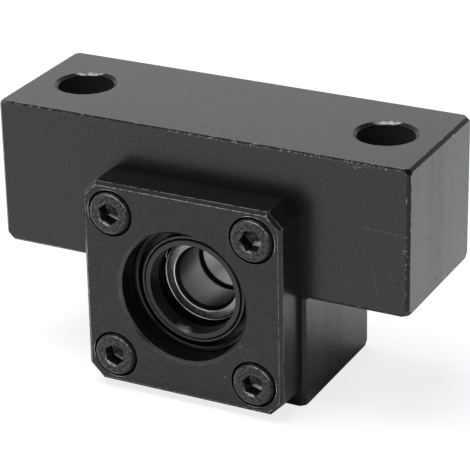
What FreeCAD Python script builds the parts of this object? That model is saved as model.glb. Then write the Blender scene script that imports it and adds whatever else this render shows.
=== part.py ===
"""Ball screw end support: a T-shaped block that carries the fixed end of a ball screw.

The block holds a pair of angular contact ball bearings, a square cover clamps their outer
rings with four socket head screws, and a rubber seal closes each side. All sizes are in
millimetres. The bearing axis is the Y axis and the origin is the middle of the bearing pair.
The cover faces -Y, and the wide mounting face is upwards, at +Z.
"""
import FreeCAD, Part
import math
import os

Vector = FreeCAD.Vector

# Block: the wide part carries the mounting holes, the narrow part goes round the bearings
axis_height = 25.0
wing_height = 24.0
wing_reach = 17.0
neck_margin = 1.0
rear_wall = 6.0
neck_fillet = 0.6
edge_chamfer = 0.5
ground_edge_chamfer = 0.2
corner_break = 1.0
ground_corner_break = 0.75
mount_hole_diameter = 9.0
mount_hole_edge_distance = 9.0
mount_countersink = 0.55
mount_countersink_depth = 0.4

# Bearings: two alike, set face to face
bearing_bore = 10.0
bearing_diameter = 26.0
bearing_width = 8.0
ball_diameter = 4.762
ball_spacing = 1.5
contact_angle = 30.0
groove_conformity = 0.52
inner_shoulder_drop = 1.75
outer_shoulder_rise = 1.7
outer_relief_depth = 0.2
outer_relief_taper = 0.1
bore_corner_radial = 0.5
bore_corner_axial = 0.8
ring_corner_radius = 0.5
shoulder_chamfer = 0.2
race_clearance = 0.06

# Cages: one ring for each bearing, bored across for its balls
cage_rim = 0.72
cage_wall = 2.3
cage_outer_gap = 0.3
pocket_clearance = 0.12
cage_chamfer = 0.3

# Cover: a square plate with a spigot that presses on the front bearing
cover_thickness = 6.0
cover_rim = 1.05
cover_corner_cut = 2.3
cover_bevel = 0.55
cover_hole_chamfer = 0.45
spigot_length = 2.0

# Cover screws and their holes
screw_diameter = 4.0
screw_length = 10.0
screw_wall = 2.062
head_diameter = 7.0
head_height = 4.0
head_rounding = 0.6
head_stand_out = 0.5
head_side_gap = 0.35
socket_across_flats = 3.0
socket_depth = 2.0
clearance_hole_gap = 0.25
tapped_hole_spare = 2.4
drill_point_angle = 118.0
thread_gap = 0.05
screw_tip_chamfer = 0.5

# Where each screw's socket came to rest: side, height, and a corner's turn from +X towards +Z
screw_places = [(-1, 1, 40.0), (1, 1, 3.5), (-1, -1, 36.5), (1, -1, 46.5)]

# Seals: a stiff outer ring, a web and a lip that a garter spring draws in
seal_width = 3.7
seal_gap = 0.3
seal_case_wall = 0.8
seal_channel = 0.84
seal_edge_rounding = 0.2
web_thickness = 0.9
web_set_back = 0.2
lip_face_proud = 0.5
lip_face_width = 0.78
lip_face_opening = 0.17
lip_edge_depth = 1.9
lip_back_opening = 0.7
lip_arm_thickness = 0.6
spring_coil_diameter = 0.66
spring_stand_off = 0.53
spring_depth = -0.12
spring_seat_gap = 0.03

# Fits
slip_gap = 0.02
lead_in_chamfer = 0.4
shoulder_groove_depth = 0.3
shoulder_groove_width = 1.0

# Bearing places that follow from the sizes above
bearing_radius = bearing_diameter / 2
bore_radius = bearing_bore / 2
ball_radius = ball_diameter / 2
pitch_radius = (bore_radius + bearing_radius) / 2
ball_count = int(2 * math.pi * pitch_radius / (ball_diameter + ball_spacing))
inner_shoulder_radius = pitch_radius - inner_shoulder_drop
outer_shoulder_radius = pitch_radius + outer_shoulder_rise
cage_width = ball_diameter + 2 * cage_rim
pair_front_y = -bearing_width
pair_rear_y = bearing_width
front_ball_y = pair_front_y / 2

# Seal places: the lip's edge follows the inner ring's shoulder, and the rest stands round it
lip_inner_radius = inner_shoulder_radius + lip_face_opening
lip_outer_radius = lip_inner_radius + lip_face_width
spring_ring_radius = lip_outer_radius + spring_stand_off
seal_case_radius = spring_ring_radius + spring_coil_diameter / 2 + seal_channel
seal_radius = seal_case_radius + seal_case_wall
seal_face_y = pair_front_y - seal_gap - seal_width

# Cover and block places: the screws go round the bearings, and the rest round the screws
tapped_radius = screw_diameter / 2 + thread_gap
counterbore_radius = head_diameter / 2 + head_side_gap
screw_offset = (bearing_radius + screw_wall + tapped_radius) / math.sqrt(2)
half_cover = screw_offset + counterbore_radius + cover_rim
half_neck = half_cover + neck_margin
half_block = half_neck + wing_reach
mount_face_z = axis_height
wing_bottom_z = axis_height - wing_height
neck_bottom_z = -half_neck
block_front_y = pair_front_y - spigot_length
block_rear_y = pair_rear_y + rear_wall
cover_front_y = block_front_y - cover_thickness
head_top_y = cover_front_y - head_stand_out
head_seat_y = head_top_y + head_height
mount_hole_x = half_block - mount_hole_edge_distance
mount_hole_y = (block_front_y + block_rear_y) / 2


def line(radius, y):
    """A straight step of a half section, to the point (radius, y)."""
    return [(radius, y)]


def arc(middle, end):
    """A round step of a half section, through one point to another."""
    return [middle, end]


def turned(start, steps):
    """The solid that a closed half section sweeps out round the bearing axis."""
    edges = []
    here = Vector(start[0], start[1], 0)
    for step in steps + [line(*start)]:
        points = [Vector(radius, y, 0) for radius, y in step]
        if len(points) == 1:
            edges.append(Part.LineSegment(here, points[0]).toShape())
        else:
            edges.append(Part.Arc(here, points[0], points[1]).toShape())
        here = points[-1]
    section = Part.Face(Part.Wire(edges))
    return section.revolve(Vector(0, 0, 0), Vector(0, 1, 0), 360)


def rod(radius, y_from, y_to, x=0.0, z=0.0):
    """A cylinder along Y between two depths."""
    return Part.makeCylinder(radius, y_to - y_from, Vector(x, y_from, z), Vector(0, 1, 0))


def flare(radius_from, radius_to, y_from, y_to, x=0.0, z=0.0):
    """A cone along Y between two depths."""
    return Part.makeCone(radius_from, radius_to, y_to - y_from, Vector(x, y_from, z), Vector(0, 1, 0))


def hexagon(across_flats, x, z, turn, y_from, y_to):
    """A hexagonal prism along Y, with one corner turned from +X towards +Z."""
    corner_radius = across_flats / math.sqrt(3)
    points = []
    for corner in range(7):
        angle = math.radians(turn + 60 * corner)
        points.append(Vector(x + corner_radius * math.cos(angle), y_from, z + corner_radius * math.sin(angle)))
    return Part.Face(Part.makePolygon(points)).extrude(Vector(0, y_to - y_from, 0))


def to_rear(shape):
    """The same piece turned round to the rear of the bearing pair."""
    return shape.mirror(Vector(0, 0, 0), Vector(0, 1, 0))


def edges_at(shape, test):
    """The edges whose middle and direction pass a test."""
    found = []
    for edge in shape.Edges:
        middle = edge.valueAt((edge.FirstParameter + edge.LastParameter) / 2)
        direction = edge.tangentAt(edge.FirstParameter)
        if test(middle, direction):
            found.append(edge)
    return found


def same(a, b):
    """Whether two lengths agree to a thousandth."""
    return abs(a - b) < 0.001


def block_corners():
    """Each outer corner of the block, the direction that points out of it and its break's depth."""
    corners = []
    for side in (-1, 1):
        for depth, y in ((-1, block_front_y), (1, block_rear_y)):
            ground = Vector(side * half_block, y, mount_face_z)
            under_wing = Vector(side * half_block, y, wing_bottom_z)
            foot = Vector(side * half_neck, y, neck_bottom_z)
            corners.append((ground, Vector(side, depth, 1), ground_corner_break))
            corners.append((under_wing, Vector(side, depth, -1), corner_break))
            corners.append((foot, Vector(side, depth, -1), corner_break))
    return corners


def corner_cutter(corner, outward, depth):
    """A cube whose near face crosses the corner's diagonal squarely, at a depth inside the corner."""
    size = 6 * depth
    cutter = Part.makeBox(size, size, size, Vector(-size / 2, -size / 2, 0))
    diagonal = Vector(outward).normalize()
    cutter.Placement = FreeCAD.Placement(corner - diagonal * depth,
                                         FreeCAD.Rotation(Vector(0, 0, 1), diagonal))
    return cutter


def block_blank():
    """The T-shaped bar before it is bored: filleted, chamfered and with its corners broken."""
    outline = [(-half_block, mount_face_z), (half_block, mount_face_z), (half_block, wing_bottom_z),
               (half_neck, wing_bottom_z), (half_neck, neck_bottom_z), (-half_neck, neck_bottom_z),
               (-half_neck, wing_bottom_z), (-half_block, wing_bottom_z), (-half_block, mount_face_z)]
    points = [Vector(x, block_front_y, z) for x, z in outline]
    blank = Part.Face(Part.makePolygon(points)).extrude(Vector(0, block_rear_y - block_front_y, 0))

    def along_depth(direction):
        return same(abs(direction.y), 1)

    def inner_corner(middle, direction):
        return along_depth(direction) and same(abs(middle.x), half_neck) and same(middle.z, wing_bottom_z)

    def outer_corner(middle, direction):
        at_wing = same(abs(middle.x), half_block)
        at_foot = same(middle.z, neck_bottom_z)
        return along_depth(direction) and (at_wing or at_foot)

    def on_end_face(middle):
        return same(middle.y, block_front_y) or same(middle.y, block_rear_y)

    def end_outline(middle, direction):
        return on_end_face(middle) and not same(middle.z, mount_face_z)

    def ground_edge(middle, direction):
        return on_end_face(middle) and same(middle.z, mount_face_z)

    blank = blank.makeFillet(neck_fillet, edges_at(blank, inner_corner))
    blank = blank.makeChamfer(edge_chamfer, edges_at(blank, outer_corner))
    blank = blank.makeChamfer(edge_chamfer, edges_at(blank, end_outline))
    blank = blank.makeChamfer(ground_edge_chamfer, edges_at(blank, ground_edge))
    for corner, outward, depth in block_corners():
        blank = blank.cut(corner_cutter(corner, outward, depth))
    return blank


def tapped_hole(x, z):
    """A blind screw hole in the block's front face, with the drill's point at its end."""
    end_y = head_seat_y + screw_length + tapped_hole_spare
    point_length = tapped_radius / math.tan(math.radians(drill_point_angle / 2))
    hole = rod(tapped_radius, block_front_y, end_y, x, z)
    hole = hole.fuse(flare(tapped_radius, 0, end_y, end_y + point_length, x, z))
    mouth = flare(tapped_radius + lead_in_chamfer, tapped_radius,
                  block_front_y, block_front_y + lead_in_chamfer, x, z)
    return hole.fuse(mouth)


def mount_hole(x):
    """A bolt hole through a wing, countersunk at both ends."""
    radius = mount_hole_diameter / 2
    hole = Part.makeCylinder(radius, wing_height, Vector(x, mount_hole_y, wing_bottom_z))
    top = Part.makeCone(radius, radius + mount_countersink, mount_countersink_depth,
                        Vector(x, mount_hole_y, mount_face_z - mount_countersink_depth))
    bottom = Part.makeCone(radius + mount_countersink, radius, mount_countersink_depth,
                           Vector(x, mount_hole_y, wing_bottom_z))
    return hole.fuse([top, bottom])


def bearing_space():
    """The stepped bore of the block: bearing seat, corner groove, seal seat and its lead-ins."""
    seat = bearing_radius + slip_gap
    groove = seat + shoulder_groove_depth
    seal_seat = seal_radius + slip_gap
    return turned((0, block_front_y), [
        line(seat + lead_in_chamfer, block_front_y),
        line(seat, block_front_y + lead_in_chamfer),
        line(seat, pair_rear_y - shoulder_groove_width),
        line(groove, pair_rear_y - shoulder_groove_width + shoulder_groove_depth),
        line(groove, pair_rear_y),
        line(seal_seat, pair_rear_y),
        line(seal_seat, block_rear_y - lead_in_chamfer),
        line(seal_seat + lead_in_chamfer, block_rear_y),
        line(0, block_rear_y),
    ])


def housing():
    """The block with its bores and holes."""
    block = block_blank().cut(bearing_space())
    for side in (-1, 1):
        block = block.cut(mount_hole(side * mount_hole_x))
    for side, height, turn in screw_places:
        block = block.cut(tapped_hole(side * screw_offset, height * screw_offset))
    return block


def cover():
    """The square plate with its spigot, seal bore and counterbored screw holes."""
    plate = Part.makeBox(2 * half_cover, cover_thickness, 2 * half_cover,
                         Vector(-half_cover, cover_front_y, -half_cover))

    def corner(middle, direction):
        return same(abs(direction.y), 1)

    def front_outline(middle, direction):
        return same(middle.y, cover_front_y)

    plate = plate.makeChamfer(cover_corner_cut, edges_at(plate, corner))
    plate = plate.makeChamfer(cover_bevel, edges_at(plate, front_outline))
    spigot = turned((0, block_front_y - cover_thickness / 2), [
        line(bearing_radius - slip_gap, block_front_y - cover_thickness / 2),
        line(bearing_radius - slip_gap, pair_front_y - lead_in_chamfer),
        line(bearing_radius - slip_gap - lead_in_chamfer, pair_front_y),
        line(0, pair_front_y),
    ])
    seal_seat = seal_radius + slip_gap
    opening = turned((0, cover_front_y), [
        line(seal_seat + cover_hole_chamfer, cover_front_y),
        line(seal_seat, cover_front_y + cover_hole_chamfer),
        line(seal_seat, pair_front_y),
        line(0, pair_front_y),
    ])
    plate = plate.fuse(spigot).cut(opening)
    clearance_radius = screw_diameter / 2 + clearance_hole_gap
    for side, height, turn in screw_places:
        x = side * screw_offset
        z = height * screw_offset
        plate = plate.cut(rod(counterbore_radius, cover_front_y, head_seat_y, x, z))
        plate = plate.cut(rod(clearance_radius, head_seat_y, block_front_y, x, z))
    return plate


def cover_screw(side, height, turn):
    """One socket head cap screw, seated in its counterbore with the top of its head standing out."""
    x = side * screw_offset
    z = height * screw_offset
    tip_y = head_seat_y + screw_length
    shank_radius = screw_diameter / 2
    head = rod(head_diameter / 2, head_top_y, head_seat_y, x, z)

    def rim(middle, direction):
        return same(middle.y, head_top_y)

    head = head.makeFillet(head_rounding, edges_at(head, rim))
    shank = rod(shank_radius, head_seat_y, tip_y - screw_tip_chamfer, x, z)
    tip = flare(shank_radius, shank_radius - screw_tip_chamfer, tip_y - screw_tip_chamfer, tip_y, x, z)
    socket_end_y = head_top_y + socket_depth
    socket = hexagon(socket_across_flats, x, z, turn, head_top_y, socket_end_y)
    drill_radius = socket_across_flats / 2
    point = flare(drill_radius, 0, socket_end_y,
                  socket_end_y + drill_radius / math.tan(math.radians(drill_point_angle / 2)), x, z)
    return head.fuse([shank, tip]).cut(socket.fuse(point)).removeSplitter()


def groove_arc(centre, sign, edge_from, edge_to):
    """The raceway's arc between two radii, bulging away from the ball's side of the section."""
    groove_radius = groove_conformity * ball_diameter
    radius_from, side_from = edge_from
    radius_to, side_to = edge_to
    y_from = centre[1] + side_from * math.sqrt(groove_radius ** 2 - (radius_from - centre[0]) ** 2)
    y_to = centre[1] + side_to * math.sqrt(groove_radius ** 2 - (radius_to - centre[0]) ** 2)
    middle = (centre[0] + sign * groove_radius, centre[1])
    return (radius_from, y_from), arc(middle, (radius_to, y_to))


def groove_centre(sign):
    """Where a raceway's section is centred, so that the ball meets it at the contact angle.

    sign is 1 for the outer ring and -1 for the inner ring.
    """
    angle = math.radians(contact_angle)
    shift = groove_conformity * ball_diameter - ball_radius - race_clearance
    return (pitch_radius - sign * shift * math.cos(angle), front_ball_y + sign * shift * math.sin(angle))


def outer_ring():
    """The front bearing's outer ring: a full shoulder outwards, a relieved one at the middle."""
    centre = groove_centre(1)
    groove_bottom = centre[0] + groove_conformity * ball_diameter
    relief_radius = groove_bottom - outer_relief_depth
    start, raceway = groove_arc(centre, 1, (outer_shoulder_radius, -1), (relief_radius, 1))
    corner = ring_corner_radius
    bend = corner * (1 - math.sqrt(0.5))
    return turned((outer_shoulder_radius, pair_front_y + shoulder_chamfer), [
        line(*start),
        raceway,
        line(relief_radius + outer_relief_taper, 0),
        line(bearing_radius - corner, 0),
        arc((bearing_radius - bend, -bend), (bearing_radius, -corner)),
        line(bearing_radius, pair_front_y + corner),
        arc((bearing_radius - bend, pair_front_y + bend), (bearing_radius - corner, pair_front_y)),
        line(outer_shoulder_radius + shoulder_chamfer, pair_front_y),
    ])


def inner_ring():
    """The front bearing's inner ring, with a raceway between two equal shoulders."""
    centre = groove_centre(-1)
    shoulder = inner_shoulder_radius
    start, raceway = groove_arc(centre, -1, (shoulder, 1), (shoulder, -1))
    return turned((bore_radius, pair_front_y + bore_corner_axial), [
        line(bore_radius, -bore_corner_axial),
        line(bore_radius + bore_corner_radial, 0),
        line(shoulder - shoulder_chamfer, 0),
        line(shoulder, -shoulder_chamfer),
        line(*start),
        raceway,
        line(shoulder, pair_front_y + shoulder_chamfer),
        line(shoulder - shoulder_chamfer, pair_front_y),
        line(bore_radius + bore_corner_radial, pair_front_y),
    ])


def ball(number, first_angle, y):
    """One ball on the pitch circle."""
    angle = math.radians(first_angle + 360 * number / ball_count)
    centre = Vector(pitch_radius * math.cos(angle), y, pitch_radius * math.sin(angle))
    return Part.makeSphere(ball_radius, centre)


def cage(first_angle, y):
    """The ring that spaces the balls, with a round pocket bored across for each."""
    outer = outer_shoulder_radius - cage_outer_gap
    inner = outer - cage_wall
    front = y - cage_width / 2
    rear = y + cage_width / 2
    ring = turned((inner, front), [
        line(outer - cage_chamfer, front),
        line(outer, front + cage_chamfer),
        line(outer, rear - cage_chamfer),
        line(outer - cage_chamfer, rear),
        line(inner, rear),
    ])
    for number in range(ball_count):
        angle = math.radians(first_angle + 360 * number / ball_count)
        outward = Vector(math.cos(angle), 0, math.sin(angle))
        pocket = Part.makeCylinder(ball_radius + pocket_clearance, bearing_radius, Vector(0, y, 0), outward)
        ring = ring.cut(pocket)
    return ring


def seal():
    """The front seal: outer ring, web and lip in one moulding, open towards the outside."""
    outer = seal_radius
    case = seal_case_radius
    face = seal_face_y
    rear = face + seal_width
    rounding = seal_edge_rounding
    web_rear = rear - web_set_back
    web_front = web_rear - web_thickness
    edge = inner_shoulder_radius
    lip_front = face - lip_face_proud
    spring_y = face + spring_depth
    seat = spring_coil_diameter / 2 + spring_seat_gap
    seat_bend = seat * math.sqrt(0.5)
    edge_y = face + lip_edge_depth
    arm_inner = edge + lip_back_opening
    arm_outer = arm_inner + lip_arm_thickness
    return turned((lip_inner_radius, lip_front), [
        line(lip_outer_radius, lip_front),
        line(lip_outer_radius, lip_front + rounding),
        line(spring_ring_radius - seat, spring_y),
        arc((spring_ring_radius - seat_bend, spring_y + seat_bend), (spring_ring_radius, spring_y + seat)),
        line(spring_ring_radius + rounding, spring_y + seat),
        line(arm_outer, edge_y),
        line(arm_outer, web_front),
        line(case, web_front),
        line(case, face + rounding),
        line(case + rounding, face),
        line(outer - rounding, face),
        line(outer, face + rounding),
        line(outer, rear - rounding),
        line(outer - rounding, rear),
        line(case, rear),
        line(case, web_rear),
        line(arm_inner, web_rear),
        line(arm_inner, edge_y + rounding),
        line(edge, edge_y),
    ])


def seal_spring():
    """The garter spring in the front seal's lip, drawn as a smooth ring."""
    return Part.makeTorus(spring_ring_radius, spring_coil_diameter / 2,
                          Vector(0, seal_face_y + spring_depth, 0), Vector(0, 1, 0))


def pieces():
    """Every piece by name."""
    found = {}
    found["housing"] = housing()
    found["cover"] = cover()
    found["cover_screws"] = Part.makeCompound([cover_screw(*place) for place in screw_places])
    found["front_seal"] = seal()
    found["rear_seal"] = to_rear(seal())
    found["front_seal_spring"] = seal_spring()
    found["rear_seal_spring"] = to_rear(seal_spring())
    found["front_outer_ring"] = outer_ring()
    found["rear_outer_ring"] = to_rear(outer_ring())
    found["front_inner_ring"] = inner_ring()
    found["rear_inner_ring"] = to_rear(inner_ring())
    half_step = 180 / ball_count
    for side, y, first_angle in (("front", front_ball_y, 90), ("rear", -front_ball_y, 90 + half_step)):
        found[side + "_cage"] = cage(first_angle, y)
        for number in range(ball_count):
            found[f"{side}_ball_{number + 1}"] = ball(number, first_angle, y)
    return found


os.makedirs("parts", exist_ok=True)
for name, shape in pieces().items():
    shape.exportStep(f"parts/{name}.step")
    box = shape.BoundBox
    print(name, "solids", len(shape.Solids), "valid", shape.isValid(), "volume", round(shape.Volume, 1),
          "y", round(box.YMin, 2), round(box.YMax, 2))
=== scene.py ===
# %% [markdown]
# # Ball screw end support
# A T-shaped block of blackened steel carries the fixed end of a ball screw. A square cover with
# four socket head screws holds a pair of ball bearings in it, and a rubber seal closes each side.
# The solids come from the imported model, which is the frame that everything here keeps to. This
# lesson gives each surface its finish and makes again only what is finer than the solids:
# the screws with their threads and the coiled springs in the seals.

# %% Load the frame
import math
import bpy
from mathutils import Matrix, Vector


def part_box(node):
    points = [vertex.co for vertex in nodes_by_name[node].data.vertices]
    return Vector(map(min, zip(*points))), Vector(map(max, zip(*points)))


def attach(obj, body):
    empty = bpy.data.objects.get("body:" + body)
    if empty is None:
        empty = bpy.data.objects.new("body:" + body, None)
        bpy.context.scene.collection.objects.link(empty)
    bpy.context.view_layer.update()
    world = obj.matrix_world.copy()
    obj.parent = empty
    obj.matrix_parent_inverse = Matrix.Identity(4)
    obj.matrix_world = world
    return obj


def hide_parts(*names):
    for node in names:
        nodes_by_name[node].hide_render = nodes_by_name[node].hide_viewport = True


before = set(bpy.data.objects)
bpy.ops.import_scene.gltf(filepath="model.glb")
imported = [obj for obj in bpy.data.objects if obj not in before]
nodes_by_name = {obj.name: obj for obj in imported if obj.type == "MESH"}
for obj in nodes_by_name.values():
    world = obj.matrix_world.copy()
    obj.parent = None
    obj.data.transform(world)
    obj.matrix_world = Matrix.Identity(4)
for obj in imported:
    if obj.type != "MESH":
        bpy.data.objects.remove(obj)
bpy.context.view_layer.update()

# %% [markdown]
# ## Sizes
# Blender works in metres, and this object is easier to think of in millimetres, so one value
# turns one into the other. The main faces and the pieces that are made again are read from the
# frame's own boxes, so they follow if a size of the model changes. The marks of wear and the
# radii that a finish asks for are plain places on this part.

# %% Places of the main faces
MM = 0.001


def edges_of(node):
    """The lowest and highest corner of a node, in millimetres."""
    low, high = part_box(node)
    return [value / MM for value in low], [value / MM for value in high]


def rounded(values):
    """Numbers short enough to read in a printed line."""
    return [round(value, 2) for value in values]


block_low, block_high = edges_of("housing")
cover_low, cover_high = edges_of("cover")
foot_z = block_low[2]
mount_face_z = block_high[2]
cover_front_y = cover_low[1]
print("block from", rounded(block_low), "to", rounded(block_high))
print("cover from", rounded(cover_low), "to", rounded(cover_high))

# %% [markdown]
# ## Camera
# The photograph was taken with a long lens from the right, above and in front. The angles, the
# distance and the lens were fitted to the corners of the block and the cover, so they are kept
# as plain values: a target on the block, two angles, a slight roll, and how far back it stands.

# %% Place the camera
AZIMUTH = 27.235
ELEVATION = 24.448
ROLL = -1.134
CAMERA_DISTANCE = 376.1
CAMERA_TARGET = (0.117, 2.0, 3.319)
LENS = 181.69
SENSOR_WIDTH = 36.0
CLIP_START = 10.0


def add_camera():
    """A camera that looks at the target from the fitted angles."""
    azimuth, elevation, roll = (math.radians(angle) for angle in (AZIMUTH, ELEVATION, ROLL))
    towards = Vector((math.sin(azimuth) * math.cos(elevation),
                      -math.cos(azimuth) * math.cos(elevation),
                      math.sin(elevation)))
    target = Vector(CAMERA_TARGET) * MM
    turn = towards.to_track_quat("Z", "Y") @ Matrix.Rotation(roll, 3, "Z").to_quaternion()
    data = bpy.data.cameras.new("camera")
    data.lens = LENS
    data.sensor_fit = "HORIZONTAL"
    data.sensor_width = SENSOR_WIDTH
    data.clip_start = CLIP_START * MM
    camera = bpy.data.objects.new("camera", data)
    place = Matrix.Translation(target + towards * CAMERA_DISTANCE * MM)
    camera.matrix_world = place @ turn.to_matrix().to_4x4()
    bpy.context.scene.collection.objects.link(camera)
    return camera


bpy.context.scene.camera = add_camera()
print("camera at", rounded(bpy.context.scene.camera.matrix_world.translation / MM), "mm")

# %% [markdown]
# ## A helper for nodes
# Shaders and Geometry Nodes are both trees of nodes. Written out in full, each node takes a line
# to make, a line for every setting and a line for every link. One helper does all three, so
# that a finish further down reads as a list of steps. An input that is given a socket is joined
# to it, and an input that is given anything else is set to that value. Constants that end in
# RANGE hold what ramp takes after its value: a start, an end and, unless they are 0 and 1, the
# results at the two.

# %% Add a node, and the small sums that everything uses
def add(tree, kind, inputs=None, **settings):
    """A node of one kind, with its settings made and its inputs set or joined."""
    made = tree.nodes.new(kind)
    for name, value in settings.items():
        setattr(made, name, value)
    for name, value in (inputs or {}).items():
        if isinstance(value, bpy.types.NodeSocket):
            tree.links.new(value, made.inputs[name])
        else:
            made.inputs[name].default_value = value
    return made


def output_of(tree, kind, inputs=None, **settings):
    """The first output of a new node, which is the one that most nodes are made for."""
    return add(tree, kind, inputs, **settings).outputs[0]


def sum_of(tree, operation, *values):
    """The result of one piece of arithmetic, such as ADD, on numbers or sockets."""
    return output_of(tree, "ShaderNodeMath", dict(enumerate(values)), operation=operation)


def product(tree, first, *others):
    """Numbers or sockets multiplied together."""
    for other in others:
        first = sum_of(tree, "MULTIPLY", first, other)
    return first


def largest(tree, first, *others):
    """The largest of some numbers or sockets."""
    for other in others:
        first = sum_of(tree, "MAXIMUM", first, other)
    return first


def ramp(tree, value, start, end, low=0.0, high=1.0):
    """A value that goes smoothly from low, at start, to high, at end, and no further."""
    inputs = {"Value": value, "From Min": start, "From Max": end, "To Min": low, "To Max": high}
    return output_of(tree, "ShaderNodeMapRange", inputs, interpolation_type="SMOOTHSTEP")


def grey(value):
    """A neutral colour."""
    return (value, value, value, 1)


def empty_tree(holder):
    """The node tree of a new material or world, with nothing in it."""
    holder.use_nodes = True
    holder.node_tree.nodes.clear()
    return holder.node_tree


# %% [markdown]
# ## Floor and surroundings
# Blackened steel has hardly any colour of its own: what shows is what it mirrors. So the set is
# the main part of the look. The Light Path node tells who looks. The camera sees the white
# table mostly by a glow of its own, while reflections see it as it is lit, so that the shade
# under the block's wings is mirrored in the sides. The white room is seen and mirrored at a
# strength of 1, and gives less light than that.

# %% White floor and white room
FLOOR_GAP = 0.02
FLOOR_SIZE = 3000.0
FLOOR_WHITE = 0.8
FLOOR_GLOW = 0.8
ROOM_LIGHT = 0.32


def flat_card(name, width, depth, centre, facing):
    """A flat rectangle that faces one way. Sizes are in mm."""
    turn = Vector(facing).to_track_quat("Z", "Y")
    corners = []
    for x, y in ((-1, -1), (1, -1), (1, 1), (-1, 1)):
        corners.append((turn @ Vector((x * width / 2, y * depth / 2, 0)) + Vector(centre)) * MM)
    mesh = bpy.data.meshes.new(name)
    mesh.from_pydata(corners, [], [(0, 1, 2, 3)])
    card = bpy.data.objects.new(name, mesh)
    bpy.context.scene.collection.objects.link(card)
    return card


def floor_finish():
    """White table: the camera sees mostly its glow, reflections see its lit surface."""
    material = bpy.data.materials.new("floor_white")
    tree = empty_tree(material)
    share = product(tree, add(tree, "ShaderNodeLightPath").outputs["Is Camera Ray"], FLOOR_GLOW)
    lit = output_of(tree, "ShaderNodeBsdfDiffuse", {"Color": grey(FLOOR_WHITE)})
    glow = output_of(tree, "ShaderNodeEmission", {"Color": grey(1), "Strength": 1.0})
    mixed = output_of(tree, "ShaderNodeMixShader", {0: share, 1: lit, 2: glow})
    add(tree, "ShaderNodeOutputMaterial", {"Surface": mixed})
    return material


def white_room():
    """A world that is white where it is seen or mirrored, and dimmer as a source of light."""
    world = bpy.data.worlds.new("white_room")
    tree = empty_tree(world)
    path = add(tree, "ShaderNodeLightPath").outputs
    seen = largest(tree, path["Is Camera Ray"], path["Is Glossy Ray"],
                   path["Is Transmission Ray"])
    strength = ramp(tree, seen, 0.0, 1.0, ROOM_LIGHT, 1.0)
    light = output_of(tree, "ShaderNodeBackground", {"Color": grey(1), "Strength": strength})
    add(tree, "ShaderNodeOutputWorld", {"Surface": light})
    return world


floor = flat_card("floor", FLOOR_SIZE, FLOOR_SIZE, (0, 0, foot_z - FLOOR_GAP), (0, 0, 1))
floor.data.materials.append(floor_finish())
bpy.context.scene.world = white_room()
bpy.context.scene.view_settings.view_transform = "Standard"
print("floor at", round(foot_z - FLOOR_GAP, 2), "mm")

# %% [markdown]
# ## Lamp
# One wide lamp hangs over the table, a little to the left and in front. A small one would give
# a hard shadow, which the photograph hasn't. It is left out of reflections, where its square
# outline would show on the steel.

# %% Overhead lamp
LAMP_PLACE = (-165.0, -80.0, 810.0)
LAMP_SIZE = 600.0
LAMP_POWER = 13.5


def add_lamp(name, place, size, power):
    """A square soft lamp that faces the bearing axis. Place and size are in mm."""
    data = bpy.data.lights.new(name, "AREA")
    data.shape = "SQUARE"
    data.size = size * MM
    data.energy = power
    lamp = bpy.data.objects.new(name, data)
    turn = Vector(place).to_track_quat("Z", "Y").to_matrix().to_4x4()
    lamp.matrix_world = Matrix.Translation(Vector(place) * MM) @ turn
    lamp.visible_glossy = False
    bpy.context.scene.collection.objects.link(lamp)
    return lamp


lamp = add_lamp("overhead_lamp", LAMP_PLACE, LAMP_SIZE, LAMP_POWER)
print("lamp:", lamp.name)

# %% [markdown]
# ## Two cards
# Two cards do what a photographer's cards do. The narrow chamfers at the right end of the block
# look almost black in the photograph, though the faces beside them are paler. They mirror the
# air above and to the right, so a black card stands there, and it darkens the right of the
# screw rims too. The mounting face mirrors the air behind and above, to the left. A soft card
# stands there and glows a little more than the room, which lifts that face above the ones
# beside it. Only reflections see the two, and they take no light away.

# %% Black card and soft card
BLACK_CARD_CENTRE = (700.0, 0.0, 1150.0)
BLACK_CARD_LENGTH = 3000.0
BLACK_CARD_HEIGHT = 1300.0
SOFT_CARD_DIRECTION = (-0.414, 0.811, 0.415)
SOFT_CARD_DISTANCE = 900.0
SOFT_CARD_SIZE = 700.0
SOFT_CARD_GLOW = 1.22


def mirrored_card(name, width, depth, centre, facing, glow):
    """A card that only reflections see. It glows evenly, and is black at a glow of 0."""
    material = bpy.data.materials.new(name)
    tree = empty_tree(material)
    light = output_of(tree, "ShaderNodeEmission", {"Color": grey(1), "Strength": glow})
    add(tree, "ShaderNodeOutputMaterial", {"Surface": light})
    card = flat_card(name, width, depth, centre, facing)
    card.data.materials.append(material)
    card.visible_camera = False
    card.visible_diffuse = False
    card.visible_shadow = False
    card.visible_transmission = False
    return card


black_card = mirrored_card("black_card", BLACK_CARD_LENGTH, BLACK_CARD_HEIGHT,
                           BLACK_CARD_CENTRE, (-1, 0, 0), 0.0)
soft_centre = Vector(SOFT_CARD_DIRECTION).normalized() * SOFT_CARD_DISTANCE
soft_card = mirrored_card("soft_card", SOFT_CARD_SIZE, SOFT_CARD_SIZE,
                          soft_centre, -soft_centre, SOFT_CARD_GLOW)
print("cards:", black_card.name, soft_card.name)

# %% [markdown]
# ## What every finish shares
# Each finish reads Object coordinates, turned into millimetres on the part, so a pattern keeps
# its place on a piece when its body turns. Noise is asked for by how many grains lie in a
# millimetre. An edge is found with the Bevel node: it says how the surface would face if the
# edge were rounded, and where that differs from how it does face, there is an edge.

# %% Places and directions
MEASURES = ("DISTANCE", "DOT_PRODUCT", "LENGTH")


def vector_sum(tree, operation, *values):
    """One piece of vector arithmetic, which gives a number where it measures something."""
    made = add(tree, "ShaderNodeVectorMath", dict(enumerate(values)), operation=operation)
    return made.outputs["Value" if operation in MEASURES else "Vector"]


def point(tree, x, y=0.0, z=0.0):
    """A place or a direction from its three parts."""
    return output_of(tree, "ShaderNodeCombineXYZ", {0: x, 1: y, 2: z})


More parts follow.
